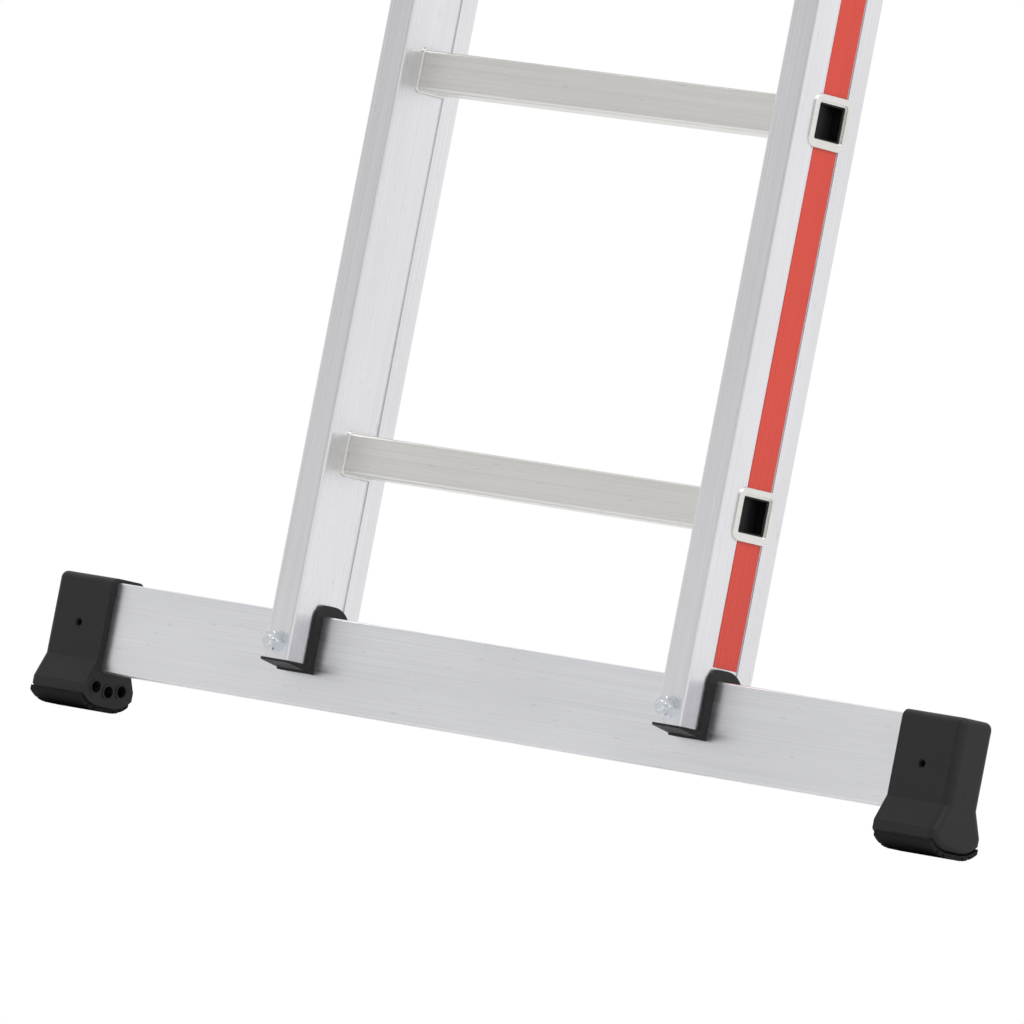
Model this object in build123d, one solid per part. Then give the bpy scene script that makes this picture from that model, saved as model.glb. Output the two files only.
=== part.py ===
from build123d import *
import os

# Two-section push-up extension ladder with a stabiliser crossbar.
# +X is the ladder's width, +Y points to the wall it leans on, +Z is up.
# The base section stands on the wall side, the fly section slides in front of it,
# and Y = 0 is the middle of the gap between the two. Millimetres.

# ---- driving dimensions -------------------------------------------------------------
WIDTH = 420.0            # over the outer faces of the stiles
PITCH = 280.0            # rung to rung
RUNG_COUNT = 8           # rungs in each section
FIRST_RUNG_Z = 212.0     # centre of the base section's lowest rung
RAISED_STEPS = 2         # pitches that the fly section is raised at rest
GAP = 4.0                # between the two sections

STILE_W = 25.0
STILE_D = 65.0
STILE_R = 2.5
STILE_WALL = 2.8         # front, back and the thick part of the webs
CHANNEL = 1.0            # depth of the shallow channel in each web
CHANNEL_LOW = 0.30       # edges of the channel, as shares of the stile's depth
CHANNEL_HIGH = 0.74
STRIPE_LOW = 0.36        # edges of the red stripe in the outer channel
STRIPE_HIGH = 0.725
STRIPE_T = 0.4
STILE_OVER = 108.0       # stile above its top rung
FLY_UNDER = 100.0        # fly stile below its first rung

RUNG = 29.5              # square rung tube
RUNG_R = 2.5
RUNG_WALL = 1.8
RUNG_AT = 0.52           # rung centre, as a share of the stile's depth
RING = 38.0              # flared ring outside the stile
RING_R = 7.0
RING_T = 1.6
BEAD = 33.0              # bead inside the stile
BEAD_T = 2.0

BAR_LOW = 28.0           # crossbar's underside above the floor
BAR_H = 66.3
BAR_D = 21.0
BAR_WALL = 2.0
BAR_R = 1.6
BAR_AT = 26.8            # crossbar's front, behind the stile's front
OVERALL = 910.0          # over the end caps
CAP_W = 57.4
CAP_WALL = 2.8           # top and outer end
CAP_SIDE = 6.1           # front and back
CAP_CREASE_Z = 36.0
CAP_FLARE_Z = 18.0
CAP_EDGE_Z = 8.0
SOLE_D = 50.0
SOLE_R = 6.0
SPIKE_R = 4.4            # blind holes in the sole's inner side
SPIKE_DEPTH = 20.0
SPIKE_PLACES = [(-13.0, 17.0), (0.0, 14.8), (13.0, 17.0)]   # from the crossbar's middle, and height
TREAD_T = 3.5
TREAD_FLAT = 9.0         # flat middle of the rocker-shaped tread

SADDLE_FRONT = 18.9      # front of the saddle's upright, behind the stile's front
SADDLE_OVER = 8.0        # arch above the crossbar
SADDLE_LIP = 2.3         # saddle's overhang past the stile's webs
LEG_LOW = 58.0           # cut end of the stile's legs
FOOT_FRONT = 1.6         # saddle foot's thickness at the front
FOOT_BACK = 6.5          # and where it meets the upright

BOLT_Z = 70.0
BOLT_R = 4.0
NUT_AF = 13.0
NUT_T = 6.8
WASHER_R = 8.0
WASHER_T = 1.4
BOLT_END = 2.2           # thread showing past the nut

GUIDE_H = 45.0
GUIDE_OFF = 4.0          # guide plate's clearance from the webs
GUIDE_T = 3.0
GUIDE_LIP = 24.0
GUIDE_PLAY = 1.5
GUIDE_LIP_T = 2.5
UPPER_GUIDE_UNDER = 65.0   # upper guide's lower edge, below the stile's top
LOWER_GUIDE_OVER = 15.0    # lower guide's lower edge, above the fly's bottom

HOOK_T = 7.0
HOOK_PARKED = 102.0      # degrees that a parked hook is turned up from its working place
PIVOT_Y = -34.0
PIVOT_OVER = 34.0        # pivot above the fly's lowest rung
PIVOT_R = 4.0
PIVOT_PLAY = 0.05
SEAT_PLAY = 0.6
PLATE_T = 3.0
RIVET_R = 2.5
RIVET_HEAD_R = 4.8
RIVET_HEAD_T = 1.5

# ---- worked out ---------------------------------------------------------------------
X_OUT = WIDTH / 2
X_IN = X_OUT - STILE_W
X_MID = X_OUT - STILE_W / 2
BASE_Y = GAP / 2                       # front of the base stiles
RUNG_Y = BASE_Y + RUNG_AT * STILE_D    # base rungs; the fly's are at -RUNG_Y
BASE_TOP = FIRST_RUNG_Z + PITCH * (RUNG_COUNT - 1) + STILE_OVER
FLY_FIRST_Z = FIRST_RUNG_Z + PITCH * RAISED_STEPS
FLY_LOW = FLY_FIRST_Z - FLY_UNDER
FLY_TOP = FLY_FIRST_Z + PITCH * (RUNG_COUNT - 1) + STILE_OVER
BAR_TOP = BAR_LOW + BAR_H
BAR_Y = BASE_Y + BAR_AT + BAR_D / 2
CAP_X = OVERALL / 2
CAP_MID = CAP_X - 30.7               # fixing hole of an end cap
GUIDE_Y = GAP / 2 + STILE_D + GUIDE_PLAY + GUIDE_LIP_T
GUIDE_RIVET_Y = BASE_Y + 0.24 * STILE_D
BASE_LEVELS = [FIRST_RUNG_Z + PITCH * step for step in range(RUNG_COUNT)]
FLY_LEVELS = [FLY_FIRST_Z + PITCH * step for step in range(RUNG_COUNT)]


# ---- helpers ------------------------------------------------------------------------
def block(x, y, z):
    """A box from its low and high x, y and z."""
    return Pos(sum(x) / 2, sum(y) / 2, sum(z) / 2) * Box(x[1] - x[0], y[1] - y[0], z[1] - z[0])


def along_x(face, x):
    """Extrude a face drawn in Y, Z between two x."""
    return Pos(x[0], 0, 0) * extrude(Plane.YZ * face, x[1] - x[0])


def outline(points, rounds=()):
    """A face through points, with some corners rounded: (point, radius)."""
    face = make_face(Polyline(*points, close=True))
    for point, radius in rounds:
        corner = face.vertices().sort_by_distance(point)[0]
        face = fillet(corner, radius)
    return face


def rod_x(radius, x, y, z):
    """A round bar along X."""
    return Pos(sum(x) / 2, y, z) * Rot(0, 90, 0) * Cylinder(radius, x[1] - x[0])


def rod_y(radius, x, y, z):
    """A round bar along Y."""
    return Pos(x, sum(y) / 2, z) * Rot(90, 0, 0) * Cylinder(radius, y[1] - y[0])


def rivet(head_x, tip_x, y, z):
    """A domed rivet along X, its head standing out from head_x."""
    away = 1 if head_x > tip_x else -1
    shank = rod_x(RIVET_R, sorted((head_x, tip_x)), y, z)
    head = rod_x(RIVET_HEAD_R, sorted((head_x, head_x + away * RIVET_HEAD_T)), y, z)
    rim = head.edges().filter_by(GeomType.CIRCLE).sort_by(Axis.X)[-1 if away > 0 else 0]
    return shank + fillet(rim, RIVET_HEAD_T * 0.7)


def left_of(shape):
    return mirror(shape, about=Plane.YZ)


def in_front(shape):
    """Turn a piece of the base section into the fly section's, in front of Y = 0."""
    return mirror(shape, about=Plane.XZ)


def save(name, *solids):
    shape = solids[0] if len(solids) == 1 else Compound(children=list(solids))
    export_step(shape, f"parts/{name}.step")


def save_pair(name, right):
    save(f"{name}_right", right)
    save(f"{name}_left", left_of(right))


def save_both_sides(name, rights):
    """One node that holds the same solids on both sides."""
    save(name, *rights, *[left_of(one) for one in rights])


# ---- stiles -------------------------------------------------------------------------
def stile(low, high, levels):
    """Right stile on the base side: a closed box section with a shallow channel in both webs."""
    middle = BASE_Y + STILE_D / 2
    channel_y = (BASE_Y + CHANNEL_LOW * STILE_D, BASE_Y + CHANNEL_HIGH * STILE_D)
    section = Pos(X_MID, middle) * RectangleRounded(STILE_W, STILE_D, STILE_R)
    section -= Pos(X_MID, middle) * Rectangle(STILE_W - 2 * STILE_WALL, STILE_D - 2 * STILE_WALL)
    bar = Pos(0, 0, low) * extrude(section, high - low)
    for edge in (X_IN, X_OUT):
        bar -= block((edge - CHANNEL, edge + CHANNEL), channel_y, (low - 1, high + 1))
    hole = RectangleRounded(RUNG, RUNG, RUNG_R)
    for level in levels:
        bar -= along_x(Pos(RUNG_Y, level) * hole, (X_IN - 1, X_OUT + 1))
    return bar


def guide_rivet_holes(bar, low):
    """Holes for a guide's rivets in the outer web, on the base side."""
    for z in guide_rivet_levels(low):
        bar -= rod_x(RIVET_R, (X_OUT - 6, X_OUT + 5), GUIDE_RIVET_Y, z)
    return bar


def slot_face():
    """The inverted U cut in the stile's lower end, and the saddle's outer shape."""
    front = BASE_Y + SADDLE_FRONT
    back = BASE_Y + BAR_AT + BAR_D + (BAR_AT - SADDLE_FRONT)
    top = BAR_TOP + SADDLE_OVER
    low = LEG_LOW - FOOT_BACK
    points = [(front, low), (front, top), (back, top), (back, low)]
    return outline(points, [((front, top), 10.0), ((back, top), 20.0)])


def base_stile():
    bar = stile(LEG_LOW, BASE_TOP, BASE_LEVELS)
    bar -= along_x(slot_face(), (X_IN - 5, X_OUT + 5))
    bar -= rod_y(BOLT_R, X_MID, (BASE_Y - 5, BASE_Y + STILE_D + 5), BOLT_Z)
    return guide_rivet_holes(bar, BASE_TOP - UPPER_GUIDE_UNDER)


def fly_stile():
    bar = in_front(guide_rivet_holes(stile(FLY_LOW, FLY_TOP, FLY_LEVELS), FLY_LOW + LOWER_GUIDE_OVER))
    for y, z in hook_rivet_places():
        bar -= rod_x(RIVET_R, (X_IN - 5, X_IN + 6), y, z)
    bar -= rod_x(PIVOT_R, (X_IN - 5, X_IN + 6), PIVOT_Y, FLY_FIRST_Z + PIVOT_OVER)
    return bar


def stripe(low, high, levels):
    """Red film in the outer channel on the base side, cut through by every rung."""
    span = (BASE_Y + STRIPE_LOW * STILE_D, BASE_Y + STRIPE_HIGH * STILE_D)
    floor = X_OUT - CHANNEL
    ends = [low] + [level + side * RUNG / 2 for level in levels for side in (-1, 1)] + [high]
    pieces = [block((floor, floor + STRIPE_T), span, ends[i:i + 2]) for i in range(0, len(ends), 2)]
    return Compound(children=pieces)


def stile_plug(end, away):
    """Moulded plug for a stile's open end on the base side; away is +1 for an upper end."""
    middle = BASE_Y + STILE_D / 2
    flange = extrude(RectangleRounded(STILE_W, STILE_D, STILE_R), 4.0)
    rim = flange.edges().group_by(Axis.Z)[-1]
    flange = fillet(rim, 1.5)
    inner_w = STILE_W - 2 * STILE_WALL
    inner_d = STILE_D - 2 * STILE_WALL
    spigot = Pos(0, 0, -9) * Box(inner_w, inner_d, 18)
    spigot -= Pos(0, 0, -11) * Box(inner_w - 4, inner_d - 4, 18)
    plug = flange + spigot
    if away < 0:
        plug = Rot(180, 0, 0) * plug
    return Pos(X_MID, middle, end) * plug


# ---- rungs --------------------------------------------------------------------------
def rung(y, z):
    """Square tube with a grooved tread, beads inside the stiles and flared rings outside."""
    section = RectangleRounded(RUNG, RUNG, RUNG_R)
    bore = RectangleRounded(RUNG - 2 * RUNG_WALL, RUNG - 2 * RUNG_WALL, RUNG_R - 1.3)
    tube = along_x(section, (-X_IN, X_IN))
    for offset in (-8.0, -4.8, -1.6, 1.6, 4.8, 8.0):
        tube -= block((-X_IN, X_IN), (offset - 0.7, offset + 0.7), (RUNG / 2 - 0.7, RUNG))
    for side in (-1, 1):
        face = side * RUNG / 2
        tube -= block((-X_IN, X_IN), sorted((face, face - side * 0.35)), (-0.9, 0.9))
        tube -= block((-X_IN, X_IN), sorted((face, face - side * 0.35)), (-11.6, -10.6))
    for side in (-1, 1):
        tube += along_x(section, sorted((side * X_IN, side * (X_OUT + RING_T))))
        ring_face = RectangleRounded(RING, RING, RING_R)
        ring = along_x(ring_face, sorted((side * X_OUT, side * (X_OUT + RING_T))))
        outer = ring.edges().group_by(Axis.X)[-1 if side > 0 else 0]
        tube += fillet(outer, RING_T * 0.6)
        bead_face = RectangleRounded(BEAD, BEAD, RUNG_R + 1.5)
        bead = along_x(bead_face, sorted((side * X_IN, side * (X_IN - BEAD_T))))
        inner = bead.edges().group_by(Axis.X)[0 if side > 0 else -1]
        tube += fillet(inner, BEAD_T * 0.6)
    tube -= along_x(bore, (-X_OUT - 5, X_OUT + 5))
    mouth_x = X_OUT + RING_T
    for side in (-1, 1):
        mouth = RectangleRounded(RUNG - 0.6, RUNG - 0.6, RUNG_R)
        tube -= along_x(mouth, sorted((side * (mouth_x - 1.4), side * (mouth_x + 1))))
    return Pos(0, y, z) * tube


def rung_plug(y, z):
    """Open cup pressed into the right end of a rung."""
    size = RUNG - 2 * RUNG_WALL
    cup = along_x(RectangleRounded(size, size, RUNG_R - 1.3), (X_OUT - 12, X_OUT - 1))
    cup -= along_x(RectangleRounded(size - 2.4, size - 2.4, 0.8), (X_OUT - 10, X_OUT))
    return Pos(0, y, z) * cup


# ---- crossbar and its fixings -------------------------------------------------------
def crossbar():
    half = CAP_X - CAP_WALL
    middle = BAR_LOW + BAR_H / 2
    outer = RectangleRounded(BAR_D, BAR_H, BAR_R)
    inner = RectangleRounded(BAR_D - 2 * BAR_WALL, BAR_H - 2 * BAR_WALL, 0.8)
    tube = Pos(0, BAR_Y, middle) * along_x(outer - inner, (-half, half))
    for side in (-1, 1):
        tube -= rod_y(BOLT_R, side * X_MID, (BAR_Y - 20, BAR_Y + 20), BOLT_Z)
        tube -= rod_y(RIVET_R, side * CAP_MID, (BAR_Y - 20, BAR_Y + 20), middle)
    return tube


def saddle():
    """Black liner between the notched stile and the crossbar, with a wedge foot each side."""
    x = (X_IN - SADDLE_LIP, X_OUT + SADDLE_LIP)
    body = along_x(slot_face(), x)
    leg_back = BASE_Y + STILE_D
    upright_back = BASE_Y + BAR_AT + BAR_D
    low = LEG_LOW - FOOT_BACK
    front_foot = [(BASE_Y - 0.6, LEG_LOW), (BASE_Y + BAR_AT, LEG_LOW), (BASE_Y + BAR_AT, low),
                  (BASE_Y - 0.6, LEG_LOW - FOOT_FRONT)]
    rear_foot = [(leg_back + 0.6, LEG_LOW), (upright_back, LEG_LOW), (upright_back, low),
                 (leg_back + 0.6, LEG_LOW - FOOT_FRONT)]
    foot_x = (X_IN - SADDLE_LIP, X_OUT + SADDLE_LIP)
    feet = along_x(outline(front_foot), foot_x) + along_x(outline(rear_foot), foot_x)
    corners = feet.edges().filter_by(Axis.Z).group_by(Axis.Y)
    feet = fillet(corners[0] + corners[-1], 3.0)
    body += feet
    body -= block(x, (BASE_Y + BAR_AT, upright_back), (low - 5, BAR_TOP))
    body -= rod_y(BOLT_R, X_MID, (BASE_Y, leg_back), BOLT_Z)
    return body


def bolt():
    """Carriage bolt with its low domed head behind the stile."""
    back = BASE_Y + STILE_D
    tip = BASE_Y - WASHER_T - NUT_T - BOLT_END
    shank = rod_y(BOLT_R, X_MID, (tip, back), BOLT_Z)
    shank = chamfer(shank.edges().filter_by(GeomType.CIRCLE).sort_by(Axis.Y)[0], 0.8)
    head = rod_y(8.5, X_MID, (back, back + 3.2), BOLT_Z)
    rim = head.edges().filter_by(GeomType.CIRCLE).sort_by(Axis.Y)[-1]
    return shank + fillet(rim, 2.4)


def washer():
    ring = rod_y(WASHER_R, X_MID, (BASE_Y - WASHER_T, BASE_Y), BOLT_Z)
    return ring - rod_y(BOLT_R, X_MID, (BASE_Y - 5, BASE_Y + 1), BOLT_Z)


def nut():
    """Hexagon nut with both faces chamfered."""
    corner_r = NUT_AF / 2 / 0.8660254
    front = BASE_Y - WASHER_T - NUT_T
    hexagon = extrude(RegularPolygon(corner_r, 6), NUT_T)
    drum = chamfer(Cylinder(corner_r + 0.02, NUT_T).edges().filter_by(GeomType.CIRCLE), 0.7)
    body = hexagon & (Pos(0, 0, NUT_T / 2) * drum)
    body -= Cylinder(BOLT_R, 4 * NUT_T)
    return Pos(X_MID, front, BOLT_Z) * Rot(-90, 0, 0) * body


# ---- end caps -----------------------------------------------------------------------
def cap_profile(bottom):
    """Side view of an end cap: a box over the crossbar that flares to a rocker sole."""
    upper = BAR_D / 2 + CAP_SIDE
    sole = SOLE_D / 2
    top = BAR_TOP + CAP_WALL
    flat = TREAD_FLAT / 2
    lines = Polyline((flat, bottom), (-flat, bottom))
    side = CAP_EDGE_Z
    arc_front = ThreePointArc((-flat, bottom), (-sole * 0.62, bottom + side * 0.22), (-sole, bottom + side))
    arc_back = ThreePointArc((sole, bottom + side), (sole * 0.62, bottom + side * 0.22), (flat, bottom))
    walls = Polyline((-sole, bottom + side), (-sole, CAP_FLARE_Z), (-upper, CAP_CREASE_Z), (-upper, top),
                     (upper, top), (upper, CAP_CREASE_Z), (sole, CAP_FLARE_Z), (sole, bottom + side))
    return make_face(lines + arc_front + walls + arc_back)


def rounded_cap(face, reach):
    """Extrude the side view along X, and round it at the outer end and the top."""
    body = along_x(face, (CAP_X - CAP_W, CAP_X - reach))
    shadow = RectangleRounded(CAP_W * 2, (BAR_TOP + CAP_WALL) * 2, 5.0)
    front_view = Plane.XZ.offset(60) * Pos(CAP_X - CAP_W - reach, 0) * shadow
    return body & extrude(front_view, -120)


def end_cap():
    body = rounded_cap(cap_profile(TREAD_T), 0)
    uprights = [edge for edge in body.edges()
                if abs(edge.center().X - CAP_X) < 0.01 and abs(edge.center().Y) > BAR_D / 4
                and edge.bounding_box().size.Z > 3.0]
    body = fillet(uprights, SOLE_R)
    body = Pos(0, BAR_Y, 0) * body
    pocket_y = (BAR_Y - BAR_D / 2, BAR_Y + BAR_D / 2)
    body -= block((CAP_X - CAP_W - 1, CAP_X - CAP_WALL), pocket_y, (BAR_LOW, BAR_TOP))
    middle = BAR_LOW + BAR_H / 2
    front = BAR_Y - BAR_D / 2 - CAP_SIDE
    body -= rod_y(RIVET_R, CAP_MID, (front - 1, BAR_Y + BAR_D), middle)
    body -= rod_y(RIVET_R + 0.9, CAP_MID, (front - 1, front + 0.6), middle)
    inner = CAP_X - CAP_W
    for y, z in SPIKE_PLACES:
        body += rod_x(SPIKE_R + 1.4, (inner - 0.5, inner + 1), BAR_Y + y, z)
        body -= rod_x(SPIKE_R, (inner - 2, inner + SPIKE_DEPTH), BAR_Y + y, z)
    return body


def tread():
    """Rubber sole under an end cap, grooved across."""
    inset = 1.5
    body = rounded_cap(cap_profile(0.0), inset)
    body &= block((CAP_X - CAP_W + inset, CAP_X - inset), (-SOLE_D / 2 + 1, SOLE_D / 2 - 1), (-1, 20))
    body -= along_x(cap_profile(TREAD_T), (CAP_X - CAP_W - 5, CAP_X + 5))
    for y in (-16.0, -9.5, 9.5, 16.0):
        body -= block((CAP_X - CAP_W - 1, CAP_X + 1), (y - 0.8, y + 0.8), (-1, groove_top(y)))
    return Pos(0, BAR_Y, 0) * body


def groove_top(y):
    """Top of a tread groove: a little above the rocker at that place."""
    share = (abs(y) - TREAD_FLAT / 2) / (SOLE_D / 2 - TREAD_FLAT / 2)
    return CAP_EDGE_Z * share ** 2 + 1.8


def cap_pin():
    """Rivet through the cap and the crossbar, sunk in its hole."""
    middle = BAR_LOW + BAR_H / 2
    return rod_y(RIVET_R, CAP_MID, (BAR_Y - BAR_D / 2 + 0.2, BAR_Y + BAR_D / 2 + CAP_SIDE * 0.8), middle)


# ---- guides -------------------------------------------------------------------------
def guide_rivet_levels(low):
    return [low + 10.0, low + GUIDE_H - 10.0]


def guide(low):
    """C-shaped guide on a right base stile, which reaches round the fly in front."""
    plate_x = (X_OUT + GUIDE_OFF, X_OUT + GUIDE_OFF + GUIDE_T)
    z = (low, low + GUIDE_H)
    pad_y = (BASE_Y + 10, BASE_Y + 45)
    body = block((X_OUT, plate_x[1]), pad_y, z)
    body += block(plate_x, (-GUIDE_Y, pad_y[1]), z)
    body += block((plate_x[1] - GUIDE_LIP, plate_x[1]), (-GUIDE_Y, -GUIDE_Y + GUIDE_LIP_T), z)
    bend = [edge for edge in body.edges().filter_by(Axis.Z)
            if abs(edge.center().X - plate_x[1]) < 0.01 and abs(edge.center().Y + GUIDE_Y) < 0.01]
    body = fillet(bend, 2.4)
    for level in guide_rivet_levels(low):
        body -= rod_x(RIVET_R, (X_OUT - 1, plate_x[1] + 1), GUIDE_RIVET_Y, level)
    return body


def guide_rivets(low):
    head = X_OUT + GUIDE_OFF + GUIDE_T
    return [rivet(head, X_OUT - 5, GUIDE_RIVET_Y, z) for z in guide_rivet_levels(low)]


# ---- rung hooks ---------------------------------------------------------------------
def hook_rivet_places():
    return [(y, FLY_FIRST_Z + 64.0) for y in (-52.0, -20.0)]


def hook_plate():
    """Flat plate on the inner web of the fly stile, which carries the hook's pivot."""
    z = FLY_FIRST_Z
    points = [(-58, z + 52), (-58, z + 74), (-14, z + 74), (-14, z + 52), (-24, z + 21), (-44, z + 21)]
    corners = [(points[0], 6.0), (points[1], 6.0), (points[2], 6.0), (points[3], 6.0), (points[4], 6.0),
               (points[5], 6.0)]
    plate = along_x(outline(points, corners), (X_IN - PLATE_T, X_IN))
    for y, level in hook_rivet_places():
        plate -= rod_x(RIVET_R, (X_IN - 10, X_IN + 1), y, level)
    return plate - rod_x(PIVOT_R, (X_IN - 10, X_IN + 1), PIVOT_Y, z + PIVOT_OVER)


def hook_rivets():
    return [rivet(X_IN - PLATE_T, X_IN + 5, y, z) for y, z in hook_rivet_places()]


def hook_x():
    """Inner and outer face of the right hook."""
    return (X_IN - PLATE_T - 4.0 - HOOK_T, X_IN - PLATE_T - 4.0)


def pivot_pin():
    """Shouldered pin with a head, fixed through the plate and the web."""
    low, high = hook_x()
    z = FLY_FIRST_Z + PIVOT_OVER
    pin = rod_x(PIVOT_R, (low - 0.5, X_IN + 5), PIVOT_Y, z)
    head = rod_x(7.0, (low - 2.5, low - 0.3), PIVOT_Y, z)
    rim = head.edges().filter_by(GeomType.CIRCLE).sort_by(Axis.X)[0]
    return pin + fillet(rim, 1.0) + rod_x(7.5, (high + 0.3, X_IN - PLATE_T), PIVOT_Y, z)


def hook():
    """Rung hook, drawn in its working place over a base rung and then parked upwards."""
    z = FLY_FIRST_Z
    seat = z + RUNG / 2 + SEAT_PLAY
    back = RUNG_Y + RUNG / 2
    nose_in = back + 1.6
    nose_out = nose_in + 9.0
    pivot = (PIVOT_Y, z + PIVOT_OVER)
    points = [(PIVOT_Y, pivot[1] - 12), (0.0, pivot[1] - 12), (12.0, seat), (nose_in, seat),
              (nose_in, z - 4), (nose_out, z - 4), (nose_out, seat + 12), (38.0, pivot[1] + 4),
              (PIVOT_Y, pivot[1] + 12)]
    rounds = [(points[4], 2.5), (points[5], 4.0), (points[6], 10.0), (points[2], 5.0), (points[1], 12.0)]
    body = along_x(outline(points, rounds), hook_x())
    body += rod_x(12.0, hook_x(), *pivot)
    body -= rod_x(PIVOT_R + PIVOT_PLAY, (X_IN - 30, X_IN), *pivot)
    slot = SlotCenterToCenter(34.0, 9.0)
    body -= along_x(Pos(4.0, pivot[1] - 0.5) * Rot(0, 0, -3) * slot, (X_IN - 30, X_IN))
    return body.rotate(Axis((0, *pivot), (1, 0, 0)), HOOK_PARKED)


# ---- write every node ---------------------------------------------------------------
def write_base():
    guide_low = BASE_TOP - UPPER_GUIDE_UNDER
    save_pair("base_stile", base_stile())
    save_pair("base_stripe", stripe(BAR_TOP + SADDLE_OVER + 1, BASE_TOP, BASE_LEVELS))
    for number, level in enumerate(BASE_LEVELS, 1):
        save(f"base_rung_{number}", rung(RUNG_Y, level))
    save_both_sides("base_rung_plugs", [rung_plug(RUNG_Y, level) for level in BASE_LEVELS])
    save_pair("base_top_plug", stile_plug(BASE_TOP, 1))
    save("crossbar", crossbar())
    save_pair("crossbar_saddle", saddle())
    save_pair("end_cap", end_cap())
    save_pair("cap_tread", tread())
    save_both_sides("cap_pins", [cap_pin()])
    save_both_sides("crossbar_bolts", [bolt()])
    save_both_sides("crossbar_washers", [washer()])
    save_both_sides("crossbar_nuts", [nut()])
    save_pair("upper_guide", guide(guide_low))
    save_both_sides("upper_guide_rivets", guide_rivets(guide_low))


def write_fly():
    guide_low = FLY_LOW + LOWER_GUIDE_OVER
    save_pair("fly_stile", fly_stile())
    save_pair("fly_stripe", in_front(stripe(FLY_LOW, FLY_TOP, FLY_LEVELS)))
    for number, level in enumerate(FLY_LEVELS, 1):
        save(f"fly_rung_{number}", rung(-RUNG_Y, level))
    save_both_sides("fly_rung_plugs", [rung_plug(-RUNG_Y, level) for level in FLY_LEVELS])
    save_pair("fly_top_plug", in_front(stile_plug(FLY_TOP, 1)))
    save_pair("fly_foot_plug", in_front(stile_plug(FLY_LOW, -1)))
    save_pair("lower_guide", in_front(guide(guide_low)))
    save_both_sides("lower_guide_rivets", [in_front(one) for one in guide_rivets(guide_low)])
    save_pair("hook_plate", hook_plate())
    save_both_sides("hook_rivets", hook_rivets())
    save_both_sides("hook_pivots", [pivot_pin()])
    save_pair("rung_hook", hook())


os.makedirs("parts", exist_ok=True)
write_base()
write_fly()
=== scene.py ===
"""Looks of the extension ladder: finishes for its own pieces, bolt threads, and a plain studio."""

import math

import bpy
from mathutils import Euler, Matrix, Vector


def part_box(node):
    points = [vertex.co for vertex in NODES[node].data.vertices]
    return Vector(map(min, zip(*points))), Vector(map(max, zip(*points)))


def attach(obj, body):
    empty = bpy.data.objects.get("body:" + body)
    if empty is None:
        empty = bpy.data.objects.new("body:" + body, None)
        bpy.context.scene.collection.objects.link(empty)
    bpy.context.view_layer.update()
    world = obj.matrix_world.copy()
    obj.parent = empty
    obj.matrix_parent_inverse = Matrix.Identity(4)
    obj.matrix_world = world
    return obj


bl_info = {
    "name": "Extension Ladder Looks",
    "version": (1, 0, 0),
    "blender": (4, 5, 0),
    "location": "3D View > Sidebar > Ladder",
    "description": "Finishes, threads, lights and camera for a two-section ladder",
    "category": "Object",
}

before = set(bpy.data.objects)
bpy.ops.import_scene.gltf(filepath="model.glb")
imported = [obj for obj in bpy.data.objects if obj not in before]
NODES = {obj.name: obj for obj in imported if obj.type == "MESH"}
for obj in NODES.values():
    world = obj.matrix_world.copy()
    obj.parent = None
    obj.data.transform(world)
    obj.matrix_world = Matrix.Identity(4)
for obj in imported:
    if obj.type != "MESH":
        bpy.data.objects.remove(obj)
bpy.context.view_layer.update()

ALONG_X, ALONG_Y, ALONG_Z = 0, 1, 2
LINE_SCALE = 900.0       # die lines per metre across an extrusion
LINE_STRETCH = 3.0       # and along it
CLOUD_SCALE = 22.0       # cloudy patches per metre across an extrusion
CLOUD_STRETCH = 5.0      # and along it
PATCH_SCALE = 35.0       # rubbed patches per metre on a moulding
MOULDED_SHINE = 0.28     # specular level of plastic, rubber and film
FRONT_LIGHT = 0.50       # brightness of the studio at the ladder's front, of 1 at its back
RUNGS = 8                # rungs in each section
RUNG_DULLER = 0.06       # added to the stiles' roughness
CROSSBAR_DULLER = 0.04
METAL_RELIEF = 0.0001    # depth of the die lines, in metres
MOULDED_RELIEF = 0.00012


# ---- settings -------------------------------------------------------------------------

class LadderFinish(bpy.types.PropertyGroup):
    """Colours and roughness of the ladder's finishes."""

    stile_colour: bpy.props.FloatVectorProperty(
        name="Stile colour", description="Mill finish of the stiles", subtype="COLOR", size=4,
        default=(0.775, 0.775, 0.80, 1.0))
    crossbar_colour: bpy.props.FloatVectorProperty(
        name="Crossbar colour", description="Mill finish of the crossbar", subtype="COLOR", size=4,
        default=(0.80, 0.805, 0.83, 1.0))
    rung_colour: bpy.props.FloatVectorProperty(
        name="Rung colour", description="Duller finish of the rungs", subtype="COLOR", size=4,
        default=(0.76, 0.75, 0.725, 1.0))
    film_colour: bpy.props.FloatVectorProperty(
        name="Film colour", description="Red film in the outer channels", subtype="COLOR", size=4,
        default=(0.60, 0.045, 0.025, 1.0))
    moulding_colour: bpy.props.FloatVectorProperty(
        name="Moulding colour", description="Caps, saddles, guides and plugs", subtype="COLOR", size=4,
        default=(0.010, 0.010, 0.0105, 1.0))
    # Also the near-black of the rung plugs, which is painted shade for the dark inside of the open rung
    # tubes.
    rubber_and_plug_shade_colour: bpy.props.FloatVectorProperty(
        name="Rubber colour", description="Treads under the caps", subtype="COLOR", size=4,
        default=(0.004, 0.004, 0.004, 1.0))
    zinc_colour: bpy.props.FloatVectorProperty(
        name="Zinc colour", description="Bolts, nuts and washers", subtype="COLOR", size=4,
        default=(0.76, 0.79, 0.82, 1.0))
    metal_roughness: bpy.props.FloatProperty(
        name="Metal roughness", description="Base roughness of the extrusions", default=0.30, min=0.0,
        max=1.0)


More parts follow.
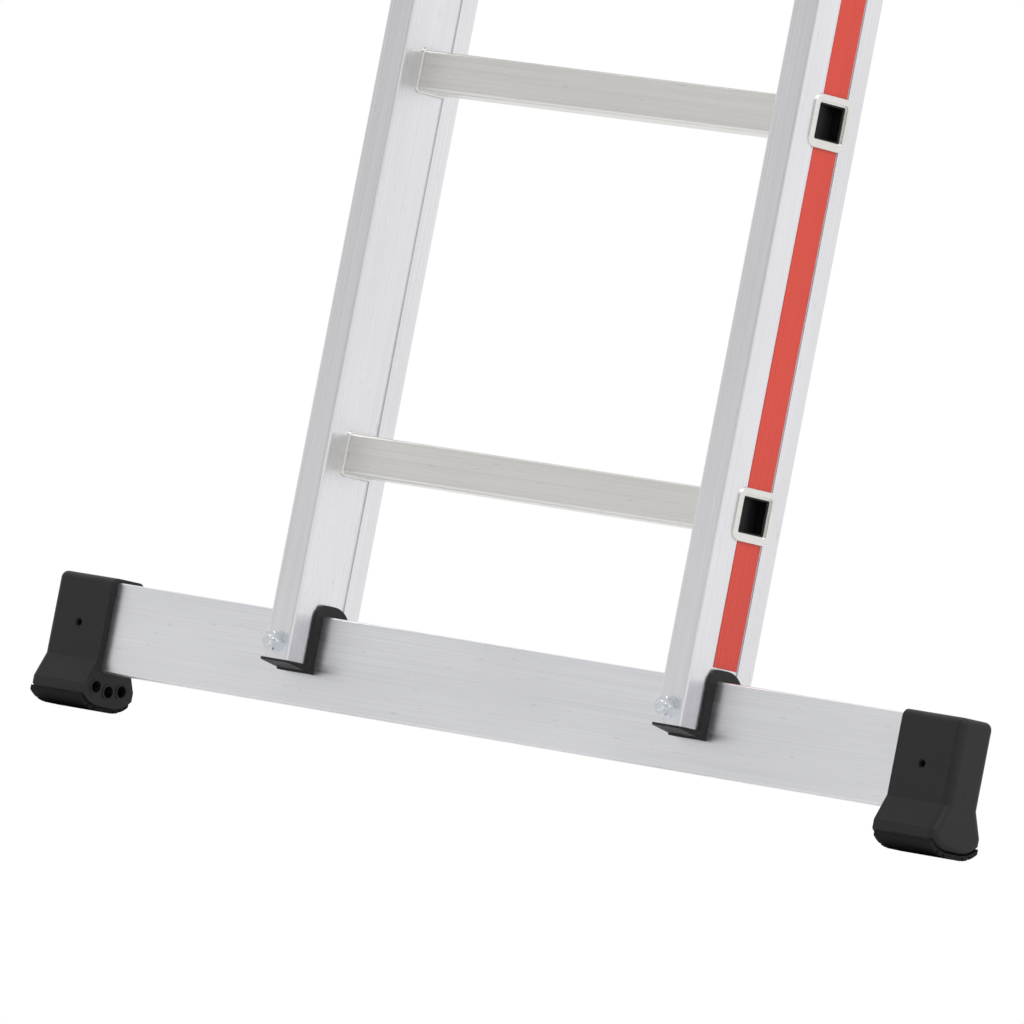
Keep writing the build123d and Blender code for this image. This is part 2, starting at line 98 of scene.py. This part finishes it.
class LadderThread(bpy.types.PropertyGroup):
    """Sizes of the thread on the bolt ends."""

    radius: bpy.props.FloatProperty(
        name="Thread radius", description="Outer radius of the thread", default=0.00415, unit="LENGTH")
    pitch: bpy.props.FloatProperty(
        name="Thread pitch", description="Distance from crest to crest", default=0.00125, unit="LENGTH")
    crest: bpy.props.FloatProperty(
        name="Crest radius", description="Radius of one rounded crest", default=0.00035, unit="LENGTH")


class LadderStage(bpy.types.PropertyGroup):
    """Where the camera stands, and how the studio is lit."""

    azimuth: bpy.props.FloatProperty(
        name="Azimuth", description="Camera's turn from the ladder's front towards its right side",
        default=math.radians(44.745), subtype="ANGLE")
    elevation: bpy.props.FloatProperty(
        name="Elevation", description="Camera's height angle, negative below the target",
        default=math.radians(-2.129), subtype="ANGLE")
    roll: bpy.props.FloatProperty(
        name="Roll", description="Camera's turn about its own line of sight",
        default=math.radians(10.952), subtype="ANGLE")
    distance: bpy.props.FloatProperty(
        name="Distance", description="From the camera to its target", default=10.554, unit="LENGTH")
    target: bpy.props.FloatVectorProperty(
        name="Target", description="Point in the middle of the view", default=(0.0116, 0.0, 0.1874),
        subtype="TRANSLATION")
    lens: bpy.props.FloatProperty(
        name="Lens", description="Focal length on a 36 mm sensor, in millimetres", default=526.25)
    floor_colour: bpy.props.FloatVectorProperty(
        name="Floor colour", description="Plain pale floor", subtype="COLOR", size=4,
        default=(0.86, 0.86, 0.86, 1.0))


# ---- shader helpers -------------------------------------------------------------------

def new_group(name, inputs, outputs):
    """An empty shader group with named sockets, and its input and output nodes."""
    tree = bpy.data.node_groups.new(name, "ShaderNodeTree")
    for label, kind in inputs:
        tree.interface.new_socket(label, in_out="INPUT", socket_type=kind)
    for label, kind in outputs:
        tree.interface.new_socket(label, in_out="OUTPUT", socket_type=kind)
    source = tree.nodes.new("NodeGroupInput")
    sink = tree.nodes.new("NodeGroupOutput")
    return tree, source, sink


def stretched_noise(tree, source, stretch, scale, detail=3.0):
    """Noise on object coordinates, stretched by a vector socket of the group."""
    coords = tree.nodes.new("ShaderNodeTexCoord")
    mapping = tree.nodes.new("ShaderNodeMapping")
    noise = tree.nodes.new("ShaderNodeTexNoise")
    noise.inputs["Scale"].default_value = scale
    noise.inputs["Detail"].default_value = detail
    tree.links.new(coords.outputs["Object"], mapping.inputs["Vector"])
    tree.links.new(source.outputs[stretch], mapping.inputs["Scale"])
    tree.links.new(mapping.outputs["Vector"], noise.inputs["Vector"])
    return noise.outputs["Fac"]


def ranged(tree, value, low, high, out_low, out_high):
    """A value mapped from one range to another, clamped."""
    node = tree.nodes.new("ShaderNodeMapRange")
    for socket, number in zip(("From Min", "From Max", "To Min", "To Max"), (low, high, out_low, out_high)):
        node.inputs[socket].default_value = number
    tree.links.new(value, node.inputs["Value"])
    return node.outputs["Result"]


def arithmetic(tree, operation, first, second):
    """A Math node; the second value is a socket or a number."""
    node = tree.nodes.new("ShaderNodeMath")
    node.operation = operation
    tree.links.new(first, node.inputs[0])
    if isinstance(second, float):
        node.inputs[1].default_value = second
    else:
        tree.links.new(second, node.inputs[1])
    return node.outputs["Value"]


def shaded(tree, colour, value):
    """A colour multiplied by a grey value."""
    node = tree.nodes.new("ShaderNodeMix")
    node.data_type = "RGBA"
    node.blend_type = "MULTIPLY"
    node.inputs["Factor"].default_value = 1.0
    tree.links.new(colour, node.inputs["A"])
    tree.links.new(value, node.inputs["B"])
    return node.outputs["Result"]


def extrusion_group():
    """Die lines along an extrusion, cloudy patches and a few scuffs."""
    tree, source, sink = new_group(
        "Extrusion Grain",
        [("Color", "NodeSocketColor"), ("Lines", "NodeSocketVector"), ("Clouds", "NodeSocketVector"),
         ("Roughness", "NodeSocketFloat")],
        [("Color", "NodeSocketColor"), ("Roughness", "NodeSocketFloat"), ("Height", "NodeSocketFloat")])
    lines = stretched_noise(tree, source, "Lines", 1.0, 4.0)
    clouds = stretched_noise(tree, source, "Clouds", 1.0, 2.0)
    specks = stretched_noise(tree, source, "Clouds", 14.0, 3.0)
    tint = arithmetic(tree, "MULTIPLY", ranged(tree, lines, 0.3, 0.7, 0.94, 1.03),
                      ranged(tree, clouds, 0.3, 0.7, 0.955, 1.02))
    tint = arithmetic(tree, "MULTIPLY", tint, ranged(tree, specks, 0.66, 0.74, 1.0, 0.90))
    rough = arithmetic(tree, "ADD", source.outputs["Roughness"], ranged(tree, lines, 0.3, 0.7, -0.04, 0.07))
    rough = arithmetic(tree, "ADD", rough, ranged(tree, specks, 0.62, 0.72, 0.0, 0.12))
    tree.links.new(shaded(tree, source.outputs["Color"], tint), sink.inputs["Color"])
    tree.links.new(rough, sink.inputs["Roughness"])
    tree.links.new(lines, sink.inputs["Height"])
    return tree


def moulding_group():
    """Spark-eroded mould texture with a little dust and rubbed patches."""
    tree, source, sink = new_group(
        "Moulded Texture",
        [("Color", "NodeSocketColor"), ("Grain", "NodeSocketVector"), ("Patches", "NodeSocketVector"),
         ("Roughness", "NodeSocketFloat")],
        [("Color", "NodeSocketColor"), ("Roughness", "NodeSocketFloat"), ("Height", "NodeSocketFloat")])
    grain = stretched_noise(tree, source, "Grain", 1.0, 2.0)
    patches = stretched_noise(tree, source, "Patches", 1.0, 4.0)
    tint = arithmetic(tree, "MULTIPLY", ranged(tree, grain, 0.35, 0.65, 0.75, 1.35),
                      ranged(tree, patches, 0.35, 0.7, 0.9, 1.35))
    rough = arithmetic(tree, "ADD", source.outputs["Roughness"],
                       ranged(tree, patches, 0.35, 0.7, -0.06, 0.10))
    tree.links.new(shaded(tree, source.outputs["Color"], tint), sink.inputs["Color"])
    tree.links.new(rough, sink.inputs["Roughness"])
    tree.links.new(grain, sink.inputs["Height"])
    return tree


def finish(name, group, colour, vectors, roughness, metallic, bump, bump_distance):
    """One material: a shared group feeds colour, roughness and bump of its own Principled shader."""
    material = bpy.data.materials.new(name)
    material.use_nodes = True
    material.diffuse_color = colour
    tree = material.node_tree
    shader = tree.nodes["Principled BSDF"]
    shader.inputs["Metallic"].default_value = metallic
    effect = tree.nodes.new("ShaderNodeGroup")
    effect.node_tree = group
    effect.inputs["Color"].default_value = colour
    effect.inputs["Roughness"].default_value = roughness
    for label, vector in vectors.items():
        effect.inputs[label].default_value = vector
    if not metallic:
        shader.inputs["Specular IOR Level"].default_value = MOULDED_SHINE
    relief = tree.nodes.new("ShaderNodeBump")
    relief.inputs["Strength"].default_value = bump
    relief.inputs["Distance"].default_value = bump_distance
    tree.links.new(effect.outputs["Color"], shader.inputs["Base Color"])
    tree.links.new(effect.outputs["Roughness"], shader.inputs["Roughness"])
    tree.links.new(effect.outputs["Height"], relief.inputs["Height"])
    tree.links.new(relief.outputs["Normal"], shader.inputs["Normal"])
    return material


def shared_group(name, make):
    return bpy.data.node_groups.get(name) or make()


def extrusion(name, colour, along, roughness, bump=0.10):
    """A metal or film whose die lines run along one axis."""
    lines = [LINE_SCALE] * 3
    lines[along] = LINE_STRETCH
    clouds = [CLOUD_SCALE] * 3
    clouds[along] = CLOUD_STRETCH
    group = shared_group("Extrusion Grain", extrusion_group)
    return finish(name, group, colour, {"Lines": lines, "Clouds": clouds}, roughness, 1.0, bump, METAL_RELIEF)


def moulding(name, colour, roughness, grain=1500.0, bump=0.35):
    group = shared_group("Moulded Texture", moulding_group)
    """A plastic or rubber with a fine mould texture."""
    vectors = {"Grain": [grain] * 3, "Patches": [PATCH_SCALE] * 3}
    return finish(name, group, colour, vectors, roughness, 0.0, bump, MOULDED_RELIEF)


def dress(node, material):
    node.data.materials.clear()
    node.data.materials.append(material)


def clad(material, *names):
    """Give this material to every CAD node whose name starts with one of the names."""
    for name in names:
        found = [node for key, node in NODES.items() if key.startswith(name)]
        if not found:
            raise RuntimeError(f"no node starts with {name}")
        for node in found:
            dress(node, material)


# ---- operators: finishes --------------------------------------------------------------

class LADDER_OT_stiles(bpy.types.Operator):
    """Mill finish on the stiles and gloss red film in their outer channels"""

    bl_idname = "ladder.stiles"
    bl_label = "Stiles and Film"

    def execute(self, context):
        looks = context.scene.ladder_finish
        clad(extrusion("stile_mill_finish", looks.stile_colour, ALONG_Z, looks.metal_roughness),
             "base_stile", "fly_stile")
        film = extrusion("red_film", looks.film_colour, ALONG_Z, roughness=0.30, bump=0.03)
        film.node_tree.nodes["Principled BSDF"].inputs["Metallic"].default_value = 0.0   # printed plastic
        clad(film, "base_stripe", "fly_stripe")
        return {"FINISHED"}


class LADDER_OT_rungs(bpy.types.Operator):
    """Duller drawn finish on the square rungs, and near-black plugs in their ends that paint the shade inside
    the open rung tubes
    """

    bl_idname = "ladder.rungs"
    bl_label = "Rungs"

    def execute(self, context):
        looks = context.scene.ladder_finish
        metal = extrusion("rung_drawn_finish", looks.rung_colour, ALONG_X,
                          roughness=looks.metal_roughness + RUNG_DULLER, bump=0.14)
        clad(metal, *[f"{part}_rung_{number + 1}" for part in ("base", "fly") for number in range(RUNGS)])
        # Painted shade: near-black plugs in the rung ends stand in for the shade deep inside the open tubes.
        clad(moulding("rung_plug_painted_shade", looks.rubber_and_plug_shade_colour, roughness=0.35),
             "base_rung_plugs", "fly_rung_plugs")
        return {"FINISHED"}


class LADDER_OT_crossbar(bpy.types.Operator):
    """Mill finish on the stabiliser crossbar"""

    bl_idname = "ladder.crossbar"
    bl_label = "Crossbar"

    def execute(self, context):
        looks = context.scene.ladder_finish
        tube = extrusion("crossbar_mill_finish", looks.crossbar_colour, ALONG_X,
                         roughness=looks.metal_roughness + CROSSBAR_DULLER)
        dress(NODES["crossbar"], tube)
        return {"FINISHED"}


class LADDER_OT_mouldings(bpy.types.Operator):
    """Textured black on caps, saddles, guides and plugs, and matt rubber on treads"""

    bl_idname = "ladder.mouldings"
    bl_label = "Mouldings"

    def execute(self, context):
        looks = context.scene.ladder_finish
        clad(moulding("black_moulding", looks.moulding_colour, roughness=0.52),
             "end_cap", "crossbar_saddle", "upper_guide_left", "upper_guide_right", "lower_guide_left",
             "lower_guide_right", "base_top_plug", "fly_top_plug", "fly_foot_plug", "cap_pins")
        clad(moulding("tread_rubber", looks.rubber_and_plug_shade_colour, roughness=0.78, grain=900.0, bump=0.5),
             "cap_tread")
        return {"FINISHED"}


class LADDER_OT_hardware(bpy.types.Operator):
    """Bright zinc on bolts, nuts and plates, and satin metal on rivets and hooks"""

    bl_idname = "ladder.hardware"
    bl_label = "Hardware"

    def execute(self, context):
        looks = context.scene.ladder_finish
        zinc = extrusion("bright_zinc", looks.zinc_colour, ALONG_Y, roughness=0.18, bump=0.05)
        clad(zinc, "crossbar_bolts", "crossbar_nuts", "crossbar_washers", "hook_plate", "hook_pivots")
        satin = extrusion("hook_casting", looks.stile_colour, ALONG_Y, roughness=0.42, bump=0.12)
        clad(satin, "rung_hook", "hook_rivets", "upper_guide_rivets", "lower_guide_rivets")
        return {"FINISHED"}


# ---- operators: repeated pieces -------------------------------------------------------

def tree_with_inputs(name, sockets):
    """A geometry tree whose number inputs are named, and its group nodes."""
    tree = bpy.data.node_groups.new(name, "GeometryNodeTree")
    tree.interface.new_socket("Geometry", in_out="INPUT", socket_type="NodeSocketGeometry")
    idents = {}
    for label, kind in sockets:
        idents[label] = tree.interface.new_socket(label, in_out="INPUT", socket_type=kind).identifier
    tree.interface.new_socket("Geometry", in_out="OUTPUT", socket_type="NodeSocketGeometry")
    return tree, tree.nodes.new("NodeGroupInput"), tree.nodes.new("NodeGroupOutput"), idents


def ring_tree(material):
    """Crests of a thread: a ring put at every point of the mesh, lying across Y."""
    tree, source, sink, idents = tree_with_inputs(
        "Thread Crests", [("Radius", "NodeSocketFloat"), ("Crest", "NodeSocketFloat")])
    ring = tree.nodes.new("GeometryNodeCurvePrimitiveCircle")
    ring.inputs["Resolution"].default_value = 32
    profile = tree.nodes.new("GeometryNodeCurvePrimitiveCircle")
    profile.inputs["Resolution"].default_value = 8
    tube = tree.nodes.new("GeometryNodeCurveToMesh")
    place = tree.nodes.new("GeometryNodeInstanceOnPoints")
    place.inputs["Rotation"].default_value = (math.radians(90), 0.0, 0.0)
    solid = tree.nodes.new("GeometryNodeRealizeInstances")
    paint = tree.nodes.new("GeometryNodeSetMaterial")
    paint.inputs["Material"].default_value = material
    link = tree.links.new
    link(source.outputs["Radius"], ring.inputs["Radius"])
    link(source.outputs["Crest"], profile.inputs["Radius"])
    link(ring.outputs["Curve"], tube.inputs["Curve"])
    link(profile.outputs["Curve"], tube.inputs["Profile Curve"])
    link(source.outputs["Geometry"], place.inputs["Points"])
    link(tube.outputs["Mesh"], place.inputs["Instance"])
    link(place.outputs["Instances"], solid.inputs["Geometry"])
    link(solid.outputs["Geometry"], paint.inputs["Geometry"])
    link(paint.outputs["Geometry"], sink.inputs["Geometry"])
    return tree, idents


def applied(name, points, tree, values):
    """Run a geometry tree on loose points and keep the plain mesh."""
    mesh = bpy.data.meshes.new(name)
    mesh.from_pydata(points, [], [])
    piece = bpy.data.objects.new(name, mesh)
    bpy.context.scene.collection.objects.link(piece)
    modifier = piece.modifiers.new("Build", "NODES")
    modifier.node_group = tree
    for identifier, value in values.items():
        modifier[identifier] = value
    bpy.context.view_layer.update()
    graph = bpy.context.evaluated_depsgraph_get()
    result = bpy.data.meshes.new_from_object(piece.evaluated_get(graph))
    piece.modifiers.remove(modifier)
    piece.data = result
    result.name = name
    if not result.polygons:
        raise RuntimeError(f"{name} came out empty")
    result.shade_smooth()
    return piece


class LADDER_OT_threads(bpy.types.Operator):
    """Rolled thread crests on the bolt ends that stand out of the nuts"""

    bl_idname = "ladder.threads"
    bl_label = "Bolt Threads"

    def execute(self, context):
        sizes = context.scene.ladder_thread
        low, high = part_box("crossbar_nuts")
        bolt_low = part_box("crossbar_bolts")[0]
        stile_low, stile_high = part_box("base_stile_right")
        across = (stile_low.x + stile_high.x) / 2
        height = (low.z + high.z) / 2
        first = bolt_low.y + 2 * sizes.crest
        count = int((low.y - first) / sizes.pitch) + 1
        points = [(side * across, first + step * sizes.pitch, height)
                  for side in (-1, 1) for step in range(count)]
        zinc = bpy.data.materials.get("bright_zinc")
        if zinc is None:
            raise RuntimeError("the hardware operator has to run first")
        tree, idents = ring_tree(zinc)
        values = {idents["Radius"]: sizes.radius - sizes.crest, idents["Crest"]: sizes.crest}
        piece = applied("bolt_thread_crests", points, tree, values)
        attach(piece, "base_section")
        return {"FINISHED"}


# ---- operator: stage ------------------------------------------------------------------

def soft_world():
    """White studio, a little darker towards the ladder's front."""
    world = bpy.data.worlds.new("studio")
    bpy.context.scene.world = world
    world.use_nodes = True
    tree = world.node_tree
    coords = tree.nodes.new("ShaderNodeTexCoord")
    split = tree.nodes.new("ShaderNodeSeparateXYZ")
    tree.links.new(coords.outputs["Generated"], split.inputs["Vector"])
    forward = arithmetic(tree, "MULTIPLY", split.outputs["Y"], -1.0)
    front = ranged(tree, forward, 0.15, 0.95, 1.0, FRONT_LIGHT)
    tree.links.new(front, tree.nodes["Background"].inputs["Color"])
    tree.nodes["Background"].inputs["Strength"].default_value = 1.0


def pale_floor(colour):
    """A wide floor that shows from above only, so that a low camera isn't blocked by it."""
    size = 14.0
    corners = [(x, y, 0.0) for x, y in ((-size, -size), (size, -size), (size, size), (-size, size))]
    mesh = bpy.data.meshes.new("floor")
    mesh.from_pydata(corners, [], [(0, 1, 2, 3)])
    floor = bpy.data.objects.new("floor", mesh)
    bpy.context.scene.collection.objects.link(floor)
    material = bpy.data.materials.new("floor_paint")
    material.use_nodes = True
    tree = material.node_tree
    shader = tree.nodes["Principled BSDF"]
    shader.inputs["Base Color"].default_value = colour
    shader.inputs["Roughness"].default_value = 0.9
    clear = tree.nodes.new("ShaderNodeBsdfTransparent")
    side = tree.nodes.new("ShaderNodeNewGeometry")
    mix = tree.nodes.new("ShaderNodeMixShader")
    tree.links.new(side.outputs["Backfacing"], mix.inputs["Fac"])
    tree.links.new(shader.outputs["BSDF"], mix.inputs[1])
    tree.links.new(clear.outputs["BSDF"], mix.inputs[2])
    tree.links.new(mix.outputs["Shader"], tree.nodes["Material Output"].inputs["Surface"])
    mesh.materials.append(material)


def soft_light(name, place, target, size, power):
    data = bpy.data.lights.new(name, "AREA")
    data.shape = "RECTANGLE"
    data.size = size[0]
    data.size_y = size[1]
    data.energy = power
    light = bpy.data.objects.new(name, data)
    light.location = place
    light.rotation_euler = (Vector(target) - Vector(place)).to_track_quat("-Z", "Y").to_euler()
    bpy.context.scene.collection.objects.link(light)


class LADDER_OT_stage(bpy.types.Operator):
    """Floor, soft studio light and the camera"""

    bl_idname = "ladder.stage"
    bl_label = "Stage"

    def execute(self, context):
        stage = context.scene.ladder_stage
        soft_world()
        pale_floor(stage.floor_colour)
        soft_light("key", (3.2, -1.2, 3.6), (0, 0, 0.9), (2.4, 2.4), 60.0)
        soft_light("top", (-1.0, -0.5, 5.0), (0, 0, 0.5), (3.0, 3.0), 45.0)
        data = bpy.data.cameras.new("camera")
        data.lens = stage.lens
        data.sensor_width = 36.0
        data.clip_start = 0.1
        data.clip_end = 200.0
        camera = bpy.data.objects.new("camera", data)
        context.scene.collection.objects.link(camera)
        flat = math.cos(stage.elevation)
        towards = Vector((math.sin(stage.azimuth) * flat, -math.cos(stage.azimuth) * flat,
                          math.sin(stage.elevation)))
        camera.location = Vector(stage.target) + towards * stage.distance
        level = Euler((math.pi / 2 - stage.elevation, 0.0, stage.azimuth)).to_matrix()
        turn = Euler((0.0, 0.0, stage.roll)).to_matrix()
        camera.rotation_euler = (level @ turn).to_euler()
        context.scene.camera = camera
        context.scene.view_settings.view_transform = "Standard"
        return {"FINISHED"}


# ---- panel and registration -----------------------------------------------------------

OPERATORS = (LADDER_OT_stage, LADDER_OT_stiles, LADDER_OT_rungs, LADDER_OT_crossbar, LADDER_OT_mouldings,
             LADDER_OT_hardware, LADDER_OT_threads)


class LADDER_PT_looks(bpy.types.Panel):
    """The ladder's operators and settings"""

    bl_label = "Ladder"
    bl_idname = "LADDER_PT_looks"
    bl_space_type = "VIEW_3D"
    bl_region_type = "UI"
    bl_category = "Ladder"

    def draw(self, context):
        for operator in OPERATORS:
            self.layout.operator(operator.bl_idname)
        for group in (context.scene.ladder_finish, context.scene.ladder_thread, context.scene.ladder_stage):
            for name in group.__annotations__:
                self.layout.prop(group, name)


SETTINGS = {"ladder_finish": LadderFinish, "ladder_thread": LadderThread, "ladder_stage": LadderStage}
CLASSES = tuple(SETTINGS.values()) + OPERATORS + (LADDER_PT_looks,)


def register():
    for cls in CLASSES:
        bpy.utils.register_class(cls)
    for name, cls in SETTINGS.items():
        setattr(bpy.types.Scene, name, bpy.props.PointerProperty(type=cls))


def unregister():
    for name in SETTINGS:
        delattr(bpy.types.Scene, name)
    for cls in reversed(CLASSES):
        bpy.utils.unregister_class(cls)


def main():
    register()
    bpy.ops.ladder.stage()
    bpy.ops.ladder.stiles()
    bpy.ops.ladder.rungs()
    bpy.ops.ladder.crossbar()
    bpy.ops.ladder.mouldings()
    bpy.ops.ladder.hardware()
    bpy.ops.ladder.threads()


if __name__ == "__main__":
    main()
